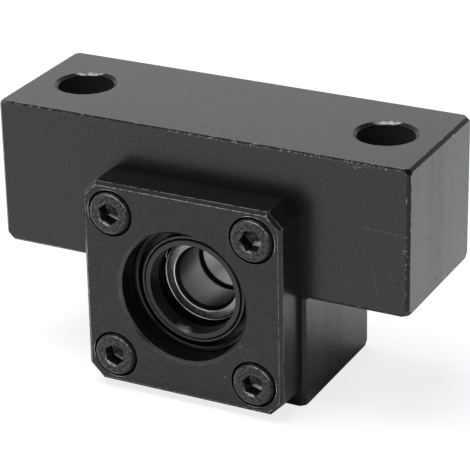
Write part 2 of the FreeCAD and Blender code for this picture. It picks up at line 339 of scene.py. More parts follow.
def parts_of(tree, place):
    """The X, Y and Z of a place or a direction."""
    return add(tree, "ShaderNodeSeparateXYZ", {0: place}).outputs


def place_on_part(tree):
    """The place of the shaded point on the part, in millimetres."""
    metres = add(tree, "ShaderNodeTexCoord").outputs["Object"]
    return vector_sum(tree, "MULTIPLY", metres, (1 / MM, 1 / MM, 1 / MM))


def facing_on_part(tree):
    """The direction that the surface faces, on the part."""
    return add(tree, "ShaderNodeTexCoord").outputs["Normal"]


def distance_from_axis(tree, where):
    """How far a place lies from the bearing axis, which runs along Y."""
    return vector_sum(tree, "LENGTH", vector_sum(tree, "MULTIPLY", where, (1, 0, 1)))


def place_round_axis(tree, where):
    """Radius and depth of a place, for patterns that run round the bearing axis."""
    return point(tree, distance_from_axis(tree, where), parts_of(tree, where)["Y"])


def side_share(tree, where, direction):
    """1 on the side of the bearing axis that a direction points to, -1 on the far side."""
    outwards = vector_sum(tree, "NORMALIZE", vector_sum(tree, "MULTIPLY", where, (1, 0, 1)))
    return vector_sum(tree, "DOT_PRODUCT", outwards, direction)


# %% Grain, edges and marks
BEVEL_SAMPLES = 6
EDGE_RANGE = (0.99, 0.94)
BROKEN_RANGE = (0.35, 0.6)


def grain(tree, where, per_mm, detail=3.0, roughness=0.55, stretch=(1, 1, 1)):
    """Noise from 0 to 1 with so many grains in a millimetre, finer along an axis by its stretch."""
    inputs = {"Vector": vector_sum(tree, "MULTIPLY", where, stretch), "Scale": per_mm,
              "Detail": detail, "Roughness": roughness}
    return output_of(tree, "ShaderNodeTexNoise", inputs)


def edge_share(tree, reach):
    """1 at an edge, 0 away from it. Reach is how far the mark goes from the edge, in mm."""
    softened = output_of(tree, "ShaderNodeBevel", {"Radius": reach * MM}, samples=BEVEL_SAMPLES)
    facing = add(tree, "ShaderNodeNewGeometry").outputs["Normal"]
    alike = vector_sum(tree, "DOT_PRODUCT", softened, facing)
    return ramp(tree, alike, *EDGE_RANGE)


def zone(tree, value, start, end, fade):
    """1 between two values, falling to 0 over the fade on both sides."""
    return product(tree, ramp(tree, value, start - fade, start), ramp(tree, value, end + fade, end))


def spots(tree, where, marks):
    """1 inside any of the marks, each a place and a size in mm, and 0 outside."""
    shares = []
    for place, size in marks:
        shares.append(ramp(tree, vector_sum(tree, "DISTANCE", where, place), size, size * 0.5))
    return largest(tree, *shares)


def scratches(tree, where, lines):
    """1 along any of the lines, each two ends and a width in mm, broken up by fine noise."""
    shares = [0.0]
    for start, end, width in lines:
        along = Vector(end) - Vector(start)
        from_start = vector_sum(tree, "SUBTRACT", where, start)
        reach = vector_sum(tree, "DOT_PRODUCT", from_start, along / along.length_squared)
        held = output_of(tree, "ShaderNodeClamp", {0: reach})
        nearest = vector_sum(tree, "MULTIPLY", along, held)
        apart = vector_sum(tree, "DISTANCE", from_start, nearest)
        shares.append(ramp(tree, apart, width, width * 0.4))
    broken = ramp(tree, grain(tree, where, 2.2), *BROKEN_RANGE)
    return product(tree, largest(tree, *shares), broken)


# %% Mixing, relief and the shader itself
def blend(tree, share, first, second):
    """A colour between two."""
    made = add(tree, "ShaderNodeMix", {0: share, 6: first, 7: second}, data_type="RGBA")
    return made.outputs[2]


def between(tree, share, first, second):
    """A number between two."""
    return output_of(tree, "ShaderNodeMix", {0: share, 2: first, 3: second}, data_type="FLOAT")


def bump(tree, strength, depth, height, over=None):
    """How the surface faces with a relief so many mm deep, over another relief if one is given."""
    inputs = {"Strength": strength, "Distance": depth * MM, "Height": height}
    if over is not None:
        inputs["Normal"] = over
    return output_of(tree, "ShaderNodeBump", inputs)


def new_finish(name, **fixed):
    """A material with a Principled shader, whose fixed values are on its own sockets."""
    material = bpy.data.materials.new(name)
    tree = empty_tree(material)
    shader = add(tree, "ShaderNodeBsdfPrincipled", fixed)
    add(tree, "ShaderNodeOutputMaterial", {"Surface": shader.outputs[0]})
    return material, tree, shader


def join(tree, shader, **inputs):
    """Joins what varies over the surface to the shader's sockets."""
    for name, socket in inputs.items():
        tree.links.new(socket, shader.inputs[name.replace("_", " ")])


def dress(node_name, material):
    """Gives a solid of the frame a new finish."""
    for holder in nodes_by_name[node_name].material_slots:
        holder.material = material


# %% [markdown]
# ## Places where the black skin differs
# The block and the cover are milled steel with a black oxide skin, and the skin isn't the same
# everywhere. Chamfers and the rims of holes are greyer, the walls of the two mounting holes are
# drilled and thinly coated, the chamfer round the cover's hole is burnished, and the back of each
# mounting hole's countersink is bare in patches, partly as wear and partly as a painted highlight.
# Painting a picture for this would need an unwrapped mesh. It is simpler to ask of each point how
# it faces and how far it lies from a hole, because the faces and the holes are plain shapes.

# %% Chamfers, side faces and borders
CHAMFER_RANGE = (0.97, 0.9)
SIDE_FACE_RANGE = (0.9, 0.98)
BORDER_FADE = 0.5


def chamfer_share(tree):
    """1 where the surface faces none of the three axes squarely, as chamfers and hole rims do."""
    parts = parts_of(tree, vector_sum(tree, "ABSOLUTE", facing_on_part(tree)))
    return ramp(tree, largest(tree, *parts), *CHAMFER_RANGE)


def side_faces(tree):
    """1 on faces that look to the left or the right."""
    across = sum_of(tree, "ABSOLUTE", parts_of(tree, facing_on_part(tree))["X"])
    return ramp(tree, across, *SIDE_FACE_RANGE)


def outer_border(tree, where, start):
    """1 further than start mm from the bearing axis, across or up, and 0 nearer."""
    parts = parts_of(tree, vector_sum(tree, "ABSOLUTE", where))
    return ramp(tree, largest(tree, parts["X"], parts["Z"]), start, start + BORDER_FADE)


# %% Rims and walls of the holes
MOUNT_HOLE_X = 26.0
MOUNT_HOLE_Y = 2.0
MOUNT_HOLE_RADIUS = 4.5
COUNTERSINK_RADIUS = 5.05
COUNTERSINK_DEPTH = 0.5
COUNTERSINK_HIGHLIGHT_SIDE = (-0.38, 0.925, 0)
COUNTERSINK_HIGHLIGHT_FROM = 4.25
COVER_HOLE_RADIUS = 10.7
COVER_RIM_WIDTH = 0.5


def mount_holes(tree, where):
    """Two shares: the back of the countersinks, bare as wear and as a painted highlight, and the
    drilled walls below.
    """
    parts = parts_of(tree, where)
    hole_x = product(tree, sum_of(tree, "SIGN", parts["X"]), MOUNT_HOLE_X)
    flat = vector_sum(tree, "MULTIPLY", where, (1, 1, 0))
    apart = vector_sum(tree, "SUBTRACT", flat, point(tree, hole_x, MOUNT_HOLE_Y))
    radius = vector_sum(tree, "LENGTH", apart)
    sideways = vector_sum(tree, "DOT_PRODUCT", apart, COUNTERSINK_HIGHLIGHT_SIDE)
    foot = mount_face_z - COUNTERSINK_DEPTH
    # Painted highlight: the back of each countersink, on one side of the hole, is marked for bare
    # steel.
    rubbed = product(tree, ramp(tree, radius, COUNTERSINK_RADIUS, COUNTERSINK_RADIUS - 0.1),
                     ramp(tree, sideways, COUNTERSINK_HIGHLIGHT_FROM, COUNTERSINK_HIGHLIGHT_FROM + 0.25),
                     ramp(tree, parts["Z"], foot - 0.1, foot + 0.1))
    drilled = product(tree, ramp(tree, radius, MOUNT_HOLE_RADIUS + 0.15, MOUNT_HOLE_RADIUS + 0.1),
                      ramp(tree, parts["Z"], foot, foot - 0.2))
    return rubbed, drilled


def cover_hole_rim(tree, where):
    """1 on the chamfer round the cover's hole."""
    radius = distance_from_axis(tree, where)
    outer = COVER_HOLE_RADIUS + COVER_RIM_WIDTH
    foot = cover_front_y + COVER_RIM_WIDTH
    return product(tree, ramp(tree, radius, COVER_HOLE_RADIUS + 0.02, COVER_HOLE_RADIUS + 0.08),
                   ramp(tree, radius, outer + 0.02, outer - 0.08),
                   ramp(tree, parts_of(tree, where)["Y"], foot + 0.02, foot - 0.05))


# %% [markdown]
# ## Blackened steel
# The skin is dark, satin and faintly cloudy, with a fine grain from the milling, and it has
# rubbed through to bright steel along some edges. It could be one flat dark colour, but then it
# would look like plastic. So colour and gloss wander a little at two scales, a bump gives the
# grain, and bare steel shows where the edge share and a patchy noise are both high. Chips,
# nicks and scratches are lists of places, because each of them is one mark on this part. The
# sides are dulled in streaks by handling, and a chamfer that is seen at a low angle is kept
# from mirroring like a window.

# %% Bare steel and gloss
UNWORN_START = 0.66
WORN_SPAN = 0.3
WORN_FADE = 0.08
INNER_WEAR = 0.1
SPARED_WEAR = 0.45
CHIP_RANGE = (0.42, 0.62, 0.0, 0.5)
NICK_RANGE = (0.5, 0.62, 0.0, 0.35)
COUNTERSINK_PATCH_RANGE = (0.38, 0.6, 0.2, 0.8)
SPECK_RANGE = (0.69, 0.76, 0.0, 0.05)
SCRATCH_SHARE = 0.035
HANDLED_BAND = (-2.0, 2.5, 2.0)
BAND_RANGE = (0.3, 0.6, 0.4, 1.0)
STREAK_RANGE = (0.42, 0.8, 0.0, 0.7)
SATIN_RANGE = (0.3, 0.7, 0.44, 0.56)
PIT_SHINE = 0.1


def edge_wear(tree, where, patches, piece):
    """The part of the edges that is rubbed bright, most of it far from the axis and in front."""
    parts = parts_of(tree, where)
    threshold = UNWORN_START - piece["wear"] * WORN_SPAN
    rubbed = ramp(tree, patches, threshold, threshold + WORN_FADE)
    outer = ramp(tree, outer_border(tree, where, piece["worn_from"]), 0.0, 1.0, INNER_WEAR, 1.0)
    front = ramp(tree, parts["Y"], piece["worn_to"], piece["worn_to"] - BORDER_FADE)
    spared = ramp(tree, parts["X"], piece["spared_from"], piece["spared_from"] + BORDER_FADE,
                  1.0, SPARED_WEAR)
    exposed = product(tree, outer, front, spared)
    return product(tree, edge_share(tree, piece["edge_reach"]), rubbed, exposed)


def bare_share(tree, where, patches, worn_and_highlit_countersink, piece):
    """Where the skin is gone: worn edges, chips, nicks, faint scratches and specks, and the backs
    of the countersinks, worn and painted bright as a highlight.
    """
    chips = product(tree, spots(tree, where, piece["chips"]), ramp(tree, patches, *CHIP_RANGE))
    nicks = product(tree, scratches(tree, where, piece["nicks"]),
                    ramp(tree, grain(tree, where, 3.0, detail=2.0), *NICK_RANGE))
    scored = product(tree, scratches(tree, where, piece["scratches"]), SCRATCH_SHARE)
    specks = ramp(tree, grain(tree, where, 2.3, detail=2.0), *SPECK_RANGE)
    rims = product(tree, worn_and_highlit_countersink, ramp(tree, patches, *COUNTERSINK_PATCH_RANGE))
    return largest(tree, edge_wear(tree, where, patches, piece), chips, nicks, scored, specks, rims)


def skin_shine(tree, where, fine, pits, piece):
    """The skin's gloss: satin, dull in the pits, and less where the sides were handled."""
    streaks = grain(tree, where, 0.5, detail=5.0, stretch=(1, 1, 0.06))
    band = product(tree, zone(tree, parts_of(tree, where)["Y"], *HANDLED_BAND),
                   ramp(tree, streaks, *BAND_RANGE))
    handled = product(tree, largest(tree, ramp(tree, streaks, *STREAK_RANGE), band),
                      side_faces(tree))
    shine = between(tree, pits, ramp(tree, fine, *SATIN_RANGE), PIT_SHINE)
    return sum_of(tree, "SUBTRACT", shine, product(tree, handled, piece["smear"]))


# %% Blackened steel
BLACK_TONE = 0.003
DRILLED_TONE = 0.02
SCORCHED_TONE = 0.02
BURNISHED_TONE = 0.065
BARE_STEEL = 0.56
BARE_ROUGHNESS = 0.34
SKIN_ROUGHNESS = 0.25
BURNISHED_RANGE = (0.3, 0.7, 0.5, 1.0)
GRAZED_RANGE = (0.5, 0.72)
GRAZED_SHINE = 0.06
PIT_RANGE = (0.74, 0.78)
PIT_DEPTH = 3.0
SKIN_RELIEF = 0.02


def blackened_steel(name, piece):
    """Black oxide on milled steel, with the wear and the marks that a piece lists."""
    material, tree, shader = new_finish(name, IOR=piece["gloss"])
    where = place_on_part(tree)
    clouds = grain(tree, where, 0.11)
    fine = grain(tree, where, 1.9, detail=4.0, roughness=0.6)
    patches = grain(tree, where, 1.5, detail=5.0, roughness=0.65)
    pits = ramp(tree, grain(tree, where, 1.7, detail=1.0), *PIT_RANGE)

    worn_and_highlit_countersink, drilled = mount_holes(tree, where)
    chamfers = chamfer_share(tree)
    scorched = largest(tree, chamfers, edge_share(tree, piece["edge_reach"] * 2))
    scorched = between(tree, drilled, product(tree, scorched, piece["scorched"]), 0.0)
    burnished = product(tree, cover_hole_rim(tree, where), ramp(tree, patches, *BURNISHED_RANGE))
    bare = bare_share(tree, where, patches, worn_and_highlit_countersink, piece)
    tone = between(tree, clouds, fine, 0.5)
    coat = blend(tree, tone, grey(BLACK_TONE * 0.3), grey(BLACK_TONE * 2.2))
    coat = blend(tree, drilled, coat, grey(DRILLED_TONE))
    coat = blend(tree, scorched, coat, grey(SCORCHED_TONE))
    coat = blend(tree, burnished, coat, grey(BURNISHED_TONE))
    coat = blend(tree, bare, coat, grey(BARE_STEEL))

    seen_low = add(tree, "ShaderNodeLayerWeight", {"Blend": 0.5}).outputs["Facing"]
    grazed = product(tree, ramp(tree, seen_low, *GRAZED_RANGE), chamfers)
    shine = between(tree, grazed, skin_shine(tree, where, fine, pits, piece), GRAZED_SHINE)
    metal = largest(tree, bare, between(tree, grazed, scorched, 0.0), burnished)
    roughness = between(tree, clouds, SKIN_ROUGHNESS - 0.05, SKIN_ROUGHNESS + 0.05)
    roughness = between(tree, fine, roughness, SKIN_ROUGHNESS + 0.08)
    relief = sum_of(tree, "SUBTRACT", fine, product(tree, pits, PIT_DEPTH))
    join(tree, shader, Base_Color=coat, Metallic=metal, Specular_IOR_Level=shine,
         Roughness=between(tree, bare, roughness, BARE_ROUGHNESS),
         Normal=bump(tree, 0.3, SKIN_RELIEF, relief))
    return material


# %% [markdown]
# ## What the block and the cover have of their own
# Each piece lists its gloss, how far handling dulls its sides, how strongly its chamfers are
# scorched, how much of its edges is worn, and how wide. The edges are worn most past a distance
# from the axis, only in front of a depth, and less past a distance to the right, all in mm. The
# last two lie outside the block, so they leave it alone. A chip is a place and a size, and a
# nick or a scratch is two ends and a width. All were placed from the photograph.

# %% Dress the block and the cover
BLOCK_SKIN = {
    "gloss": 1.42,
    "smear": 0.12,
    "scorched": 0.85,
    "wear": 0.4,
    "edge_reach": 0.14,
    "worn_from": 24.0,
    "worn_to": 20.0,
    "spared_from": 100.0,
    "chips": [
        ((34.3, -10.0, 11.9), 0.45), ((34.7, -10.0, 11.2), 0.3), ((-16.3, -10.0, 17.1), 0.14),
        ((-13.2, -2.0, 25.0), 0.2), ((30.4, -10.0, 24.6), 0.18), ((29.9, -10.0, 24.1), 0.15),
        ((26.3, -10.0, 24.0), 0.15), ((24.3, -10.0, 23.8), 0.15), ((35.0, 13.9, 18.2), 0.25),
        ((31.2, -10.0, 24.6), 0.2)],
    "scratches": [
        ((28.2, -10.0, 14.7), (35.0, -10.0, 14.3), 0.28),
        ((29.1, -10.0, 8.3), (30.1, -10.0, 4.0), 0.2),
        ((24.8, -10.0, 5.4), (26.6, -10.0, 4.6), 0.18),
        ((31.8, -10.0, 8.3), (32.5, -10.0, 7.1), 0.2)],
    "nicks": [
        ((-6.0, -10.0, 24.7), (34.2, -10.0, 24.7), 0.2),
        ((26.0, -10.0, 24.2), (29.0, -10.0, 24.3), 0.15),
        ((32.6, -9.5, 25.0), (34.4, -9.2, 25.0), 0.14)]}
COVER_SKIN = {
    "gloss": 1.375,
    "smear": 0.02,
    "scorched": 0.0,
    "wear": 0.84,
    "edge_reach": 0.13,
    "worn_from": 15.5,
    "worn_to": cover_front_y + 1.5,
    "spared_from": 16.0,
    "chips": [
        ((14.8, -16.0, 17.0), 0.35), ((14.6, -16.0, 16.5), 0.3), ((9.9, -16.0, -6.1), 0.15),
        ((11.5, -16.0, -9.2), 0.2), ((7.2, -16.0, -11.9), 0.2), ((-16.5, -16.0, -2.0), 0.3)],
    "scratches": [
        ((11.1, -16.0, -6.3), (13.1, -16.0, -5.7), 0.12),
        ((9.8, -16.0, -7.2), (11.0, -16.0, -8.2), 0.14),
        ((6.3, -16.0, -13.1), (7.0, -16.0, -12.1), 0.16),
        ((-9.0, -16.0, -14.2), (-1.0, -16.0, -15.0), 0.12)],
    "nicks": []}

dress("housing", blackened_steel("blackened_block", BLOCK_SKIN))
dress("cover", blackened_steel("blackened_cover", COVER_SKIN))
print("chips:", len(BLOCK_SKIN["chips"]), "on the block,", len(COVER_SKIN["chips"]), "on the cover")

# %% [markdown]
# ## Bearing rings
# The rings are ground after hardening, so their faces and bores carry fine rings round the axis.
# The noise is read at radius and depth instead of at the place itself, which draws exactly that.
# The bore's mouth and the rim are polished by rubbing, and painted brighter as a painted
# highlight; the mouth is wider, and the tone of both changes, at two opposite sides, as a painted
# glare, and a bead of relief on both catches the light. The bore's wall is mottled by an uneven
# film of oil, and painted shade darkens it except towards one side and behind the joint, and more
# towards its mouth. The bore's chamfer and a line beside the rim are painted dark, as a painted
# dark reflection.

# %% Ground steel
RING_FACE_STEEL = 0.15
RING_BORE_STEEL = 0.28
RING_POLISH_AND_HIGHLIGHT_STEEL = 0.34
RING_PAINTED_DARK_STEEL = 0.035
RING_BORE_RADIUS = 5.0
RING_MOUTH_RADIUS = 5.5
RING_RIM_RADIUS = 7.06
BORE_PAINTED_SHADE_DEPTH = -7.0
RING_JOINT_DEPTH = 0.0
PAINTED_GLARE_SIDE = (-0.64, 0, 0.77)
PAINTED_GLARE_RANGE = (0.7, 0.98)
PAINTED_GLARE_WIDTH = 0.6
PAINTED_LIGHT_SIDE = (-0.63, 0, -0.78)
PAINTED_LIGHT_RANGE = (0.6, 0.98, 0.38, 1.0)
BEAD_HEIGHT = 0.2
MOUTH_BEAD = 0.35


def bore_wall(tree, where, mottle):
    """The bore's colour, mottled by a film of oil, with painted shade towards its mouth and away
    from one side, and painted light behind the joint.
    """
    film = between(tree, grain(tree, where, 0.35), mottle, 0.5)
    wall = blend(tree, film, grey(RING_BORE_STEEL * 0.8), grey(RING_BORE_STEEL * 1.2))
    depth = parts_of(tree, where)["Y"]
    # Painted light and shade: black away from one side, lit behind the joint, and dimmer towards
    # the mouth.
    lit = ramp(tree, side_share(tree, where, PAINTED_LIGHT_SIDE), *PAINTED_LIGHT_RANGE)
    lit = largest(tree, lit, ramp(tree, depth, RING_JOINT_DEPTH, RING_JOINT_DEPTH + 0.5))
    lit = product(tree, lit, ramp(tree, depth, BORE_PAINTED_SHADE_DEPTH, RING_JOINT_DEPTH - 1.5, 0.75, 1.0))
    return blend(tree, lit, grey(0.0), wall)


def ring_beads(tree, radius):
    """The height of the beads at the rim and at the bore's mouth."""
    rim = ramp(tree, radius, RING_RIM_RADIUS - 0.25, RING_RIM_RADIUS)
    mouth = ramp(tree, radius, RING_MOUTH_RADIUS - 0.1, RING_MOUTH_RADIUS + 0.15, 0.0, MOUTH_BEAD)
    return sum_of(tree, "ADD", rim, mouth)


def ground_steel():
    """Ground bearing steel with grinding lines, polished and painted bright as a highlight at the
    bore's mouth and the rim, with painted shade in the bore and on its chamfer.
    """
    material, tree, shader = new_finish("ground_bearing_steel", Metallic=1.0)
    where = place_on_part(tree)
    radius = distance_from_axis(tree, where)
    lines = grain(tree, place_round_axis(tree, where), 9.0, detail=2.0)
    mottle = grain(tree, where, 1.6, detail=4.0, roughness=0.65)

    # Painted glare: at two opposite sides the polished mouth is widened and its tone changed, as a
    # painted highlight.
    painted_glare = sum_of(tree, "ABSOLUTE", side_share(tree, where, PAINTED_GLARE_SIDE))
    painted_glare = ramp(tree, painted_glare, *PAINTED_GLARE_RANGE)
    narrowed = sum_of(tree, "SUBTRACT", radius, product(tree, painted_glare, PAINTED_GLARE_WIDTH))
    mouth = product(tree, ramp(tree, radius, RING_MOUTH_RADIUS - 0.08, RING_MOUTH_RADIUS - 0.03),
                    ramp(tree, narrowed, RING_MOUTH_RADIUS + 0.3, RING_MOUTH_RADIUS + 0.15))
    rim = zone(tree, radius, RING_RIM_RADIUS - 0.14, RING_RIM_RADIUS, 0.04)
    polished_and_highlit = largest(tree, mouth, rim)
    chamfer = zone(tree, radius, RING_BORE_RADIUS + 0.06, RING_MOUTH_RADIUS - 0.1, 0.03)
    beside_rim = zone(tree, radius, RING_RIM_RADIUS - 0.4, RING_RIM_RADIUS - 0.24, 0.04)
    past_bore = ramp(tree, radius, RING_BORE_RADIUS + 0.03, RING_BORE_RADIUS + 0.06)

    face = blend(tree, ramp(tree, mottle, 0.35, 0.7), grey(RING_FACE_STEEL * 0.5),
                 grey(RING_FACE_STEEL * 1.5))
    # The polished mouth and rim are painted brighter than the face as a painted highlight, and
    # their tone follows the painted glare.
    polish_and_highlight = blend(tree, painted_glare, grey(RING_POLISH_AND_HIGHLIGHT_STEEL * 1.4), grey(RING_POLISH_AND_HIGHLIGHT_STEEL * 0.5))
    ground = blend(tree, past_bore, bore_wall(tree, where, mottle), face)
    # The bore's chamfer and a line beside the rim are painted dark, as a painted dark reflection.
    ground = blend(tree, beside_rim, ground, grey(RING_PAINTED_DARK_STEEL))
    ground = blend(tree, polished_and_highlit, ground, polish_and_highlight)
    ground = blend(tree, chamfer, ground, grey(RING_PAINTED_DARK_STEEL))
    relief = bump(tree, 1.0, BEAD_HEIGHT, ring_beads(tree, radius),
                  over=bump(tree, 0.15, 0.005, lines))
    roughness = between(tree, polished_and_highlit, between(tree, lines, 0.34, 0.5), 0.25)
    join(tree, shader, Base_Color=ground, Roughness=roughness, Normal=relief)
    return material


# %% [markdown]
# ## Balls and cages
# The balls are lapped nearly to mirrors, and look dark under their grease, so their colour and
# gloss follow a slow noise. The cages are turned from resin filled with woven cloth, brown with
# a faint weave. Two waves multiplied together give the weave without any picture of cloth.

# %% Lapped steel and resin cloth
BALL_STEEL = 0.1
WEAVE_PER_MM = 1.6
WEAVE_DISTORTION = 1.5


def lapped_steel():
    """A lapped ball under a thin, uneven film of grease."""
    material, tree, shader = new_finish("lapped_ball_steel", Metallic=1.0)
    film = grain(tree, place_on_part(tree), 0.6)
    join(tree, shader, Base_Color=blend(tree, film, grey(BALL_STEEL * 0.92), grey(BALL_STEEL)),
         Roughness=ramp(tree, film, 0.35, 0.75, 0.05, 0.16))
    return material


def resin_cloth():
    """Brown resin filled with woven cloth, as turned cages are."""
    material, tree, shader = new_finish("cage_resin", IOR=1.5)
    threads = {"Vector": place_on_part(tree), "Scale": WEAVE_PER_MM, "Distortion": WEAVE_DISTORTION}
    across, upwards = [add(tree, "ShaderNodeTexWave", threads, bands_direction=direction)
                       for direction in ("X", "Z")]
    cloth = product(tree, across.outputs["Fac"], upwards.outputs["Fac"])
    brown = blend(tree, cloth, (0.010, 0.008, 0.007, 1), (0.022, 0.018, 0.015, 1))
    join(tree, shader, Base_Color=brown, Roughness=between(tree, cloth, 0.5, 0.38),
         Normal=bump(tree, 0.1, 0.01, cloth))
    return material


ring_finish = ground_steel()
ball_finish = lapped_steel()
cage_finish = resin_cloth()
for node_name in nodes_by_name:
    if node_name.endswith("_ring"):
        dress(node_name, ring_finish)
    if "_ball_" in node_name:
        dress(node_name, ball_finish)
    if node_name.endswith("_cage"):
        dress(node_name, cage_finish)
print("bearing finishes:", ring_finish.name, ball_finish.name, cage_finish.name)

# %% [markdown]
# ## Seal rubber
# Each seal is moulded nitrile rubber, black and satin, with a dusty look from talc and oil, and
# a painted highlight, lighter and glossier, on the front one's inner wall. Its rings follow the
# axis too, so the mould's fine turning lines are read at radius and depth. Plain black would lose
# the seal's steps in the shade.

# %% Moulded rubber
SEAL_PAINTED_HIGHLIGHTS = [((-1.3, -12.1, -6.9), 1.15), ((-2.4, -12.1, -6.7), 0.9)]
PAINTED_HIGHLIGHT_TONE = 0.26
PAINTED_HIGHLIGHT_RANGE = (0.35, 0.6, 0.25, 1.0)
LIP_RADIUS = 7.42
LIP_SHINE = 0.32
RUBBER_SHINE = 0.38


def seal_rubber():
    """Black nitrile rubber with faint mould lines round its axis."""
    material, tree, shader = new_finish("moulded_rubber", IOR=1.5)
    where = place_on_part(tree)
    lines = grain(tree, place_round_axis(tree, where), 5.0, detail=2.0)
    dust = grain(tree, where, 0.8, detail=4.0)
    # Painted highlight: two spots on the front seal's inner wall, lighter and glossier, broken up
    # by the dust.
    painted_highlight = product(tree, spots(tree, where, SEAL_PAINTED_HIGHLIGHTS), ramp(tree, dust, *PAINTED_HIGHLIGHT_RANGE))
    rubber = blend(tree, dust, grey(0.003), grey(0.007))
    rubber = blend(tree, product(tree, painted_highlight, dust), rubber, grey(PAINTED_HIGHLIGHT_TONE))
    shine = ramp(tree, distance_from_axis(tree, where), LIP_RADIUS, LIP_RADIUS + 0.08,
                 LIP_SHINE, RUBBER_SHINE)
    shine = sum_of(tree, "ADD", shine, product(tree, painted_highlight, 0.6))
    join(tree, shader, Base_Color=rubber, Roughness=between(tree, dust, 0.24, 0.36),
         Specular_IOR_Level=shine, Normal=bump(tree, 0.15, 0.01, lines))
    return material


rubber_finish = seal_rubber()
dress("front_seal", rubber_finish)
dress("rear_seal", rubber_finish)
print("seal finish:", rubber_finish.name)

# %% [markdown]
# ## Geometry Nodes helpers
# The screws and the seal springs are finer than the solids of the frame: a screw has a knurled
# head and a thread, and a spring is a wound wire. Both follow a rule, so Geometry Nodes make
# them. A tree gets one named input for each size, the modifier's inputs are filled through each
# socket's identifier, and the evaluated result becomes a plain mesh that carries no modifier.

# %% Tree with named sizes, and the plain mesh it makes
SOCKET_KINDS = {float: "NodeSocketFloat", int: "NodeSocketInt",
                bpy.types.Material: "NodeSocketMaterial"}


def tree_for(name, sizes):
    """An empty Geometry Nodes tree with an input for each size, and the inputs' sockets."""
    tree = bpy.data.node_groups.new(name, "GeometryNodeTree")
    tree.interface.new_socket("Geometry", in_out="INPUT", socket_type="NodeSocketGeometry")
    for label, value in sizes.items():
        tree.interface.new_socket(label, in_out="INPUT", socket_type=SOCKET_KINDS[type(value)])
    tree.interface.new_socket("Geometry", in_out="OUTPUT", socket_type="NodeSocketGeometry")
    return tree, add(tree, "NodeGroupInput").outputs


def plain_mesh(name, tree, sizes, start_mesh):
    """Runs a tree on a start mesh and keeps the result as an ordinary mesh object."""
    source = bpy.data.objects.new(name + "_source", start_mesh)
    bpy.context.scene.collection.objects.link(source)
    modifier = source.modifiers.new(tree.name, "NODES")
    modifier.node_group = tree
    for item in tree.interface.items_tree:
        if item.in_out == "INPUT" and item.name in sizes:
            modifier[item.identifier] = sizes[item.name]
    evaluated = source.evaluated_get(bpy.context.evaluated_depsgraph_get())
    mesh = bpy.data.meshes.new_from_object(evaluated)
    bpy.data.objects.remove(source)
    mesh.name = name
    piece = bpy.data.objects.new(name, mesh)
    bpy.context.scene.collection.objects.link(piece)
    triangles = sum(len(face.vertices) - 2 for face in mesh.polygons)
    print(name, "has", triangles, "triangles and", round(volume_of(mesh) / MM ** 3, 2), "cubic mm")
    return piece


def volume_of(mesh):
    """The space inside a closed mesh, which is negative where its faces point inwards."""
    total = 0.0
    for face in mesh.polygons:
        first, *others = [mesh.vertices[index].co for index in face.vertices]
        for second, third in zip(others, others[1:]):
            total += first.dot(second.cross(third)) / 6
    return total


# %% Steps that both trees take
def whole(tree, operation, *values):
    """Whole number arithmetic in a Geometry Nodes tree."""
    return output_of(tree, "FunctionNodeIntegerMath", dict(enumerate(values)), operation=operation)


def round_z(tree, radius, angle, height):
    """The place at a radius and an angle round the Z axis, and at a height."""
    return point(tree, product(tree, radius, sum_of(tree, "COSINE", angle)),
                 product(tree, radius, sum_of(tree, "SINE", angle)), height)


def smooth_shape(tree, shape):
    """A shape with smooth shading all over."""
    return output_of(tree, "GeometryNodeSetShadeSmooth", {"Geometry": shape, "Shade Smooth": True})


def stand_up(tree, shape, depth):
    """Turns a shape made round +Z so that +Z becomes -Y, the cover's outward side."""
    inputs = {"Geometry": shape, "Translation": point(tree, 0.0, depth),
              "Rotation": (math.pi / 2, 0, 0)}
    return output_of(tree, "GeometryNodeTransform", inputs)


def close_tree(tree, shape, material):
    """Realizes the shape, gives it its finish and sends it out."""
    real = output_of(tree, "GeometryNodeRealizeInstances", {"Geometry": shape})
    inputs = {"Geometry": real, "Material": material}
    add(tree, "NodeGroupOutput", {"Geometry": output_of(tree, "GeometryNodeSetMaterial", inputs)})


# %% [markdown]
# ## Cover screws
# Four M4 socket head cap screws hold the cover. The head is turned with a rounded rim, its side
# is knurled, the hexagon socket has a cone at its mouth that cuts six crescents, and the shank
# has a rolled thread. One screw could be a lathe shape with booleans, but a hexagon, a knurl
# and a thread are all only rules for how far the surface lies from the axis at an angle. So the
# script draws the half section as a chain of points, each marked with the rule it follows, and
# the tree wraps a sheet round the axis with one row for each point of the chain.

# %% Half section of a cover screw
HEAD_RADIUS = 3.5
HEAD_HEIGHT = 4.0
HEAD_ROUNDING = 0.6
ROUNDING_STEPS = 7
SOCKET_FLATS = 3.2
SOCKET_DEPTH = 2.3
SOCKET_CONE_DEPTH = 0.6
MOUTH_RADIUS = 1.97
SHANK_RADIUS = 1.98
THREAD_PITCH = 0.7
THREAD_ROWS_PER_PITCH = 8
SCREW_LENGTH = 10.0
TIP_CHAMFER = 0.5
RULES = ("hexagon", "mouth", "knurl", "thread")


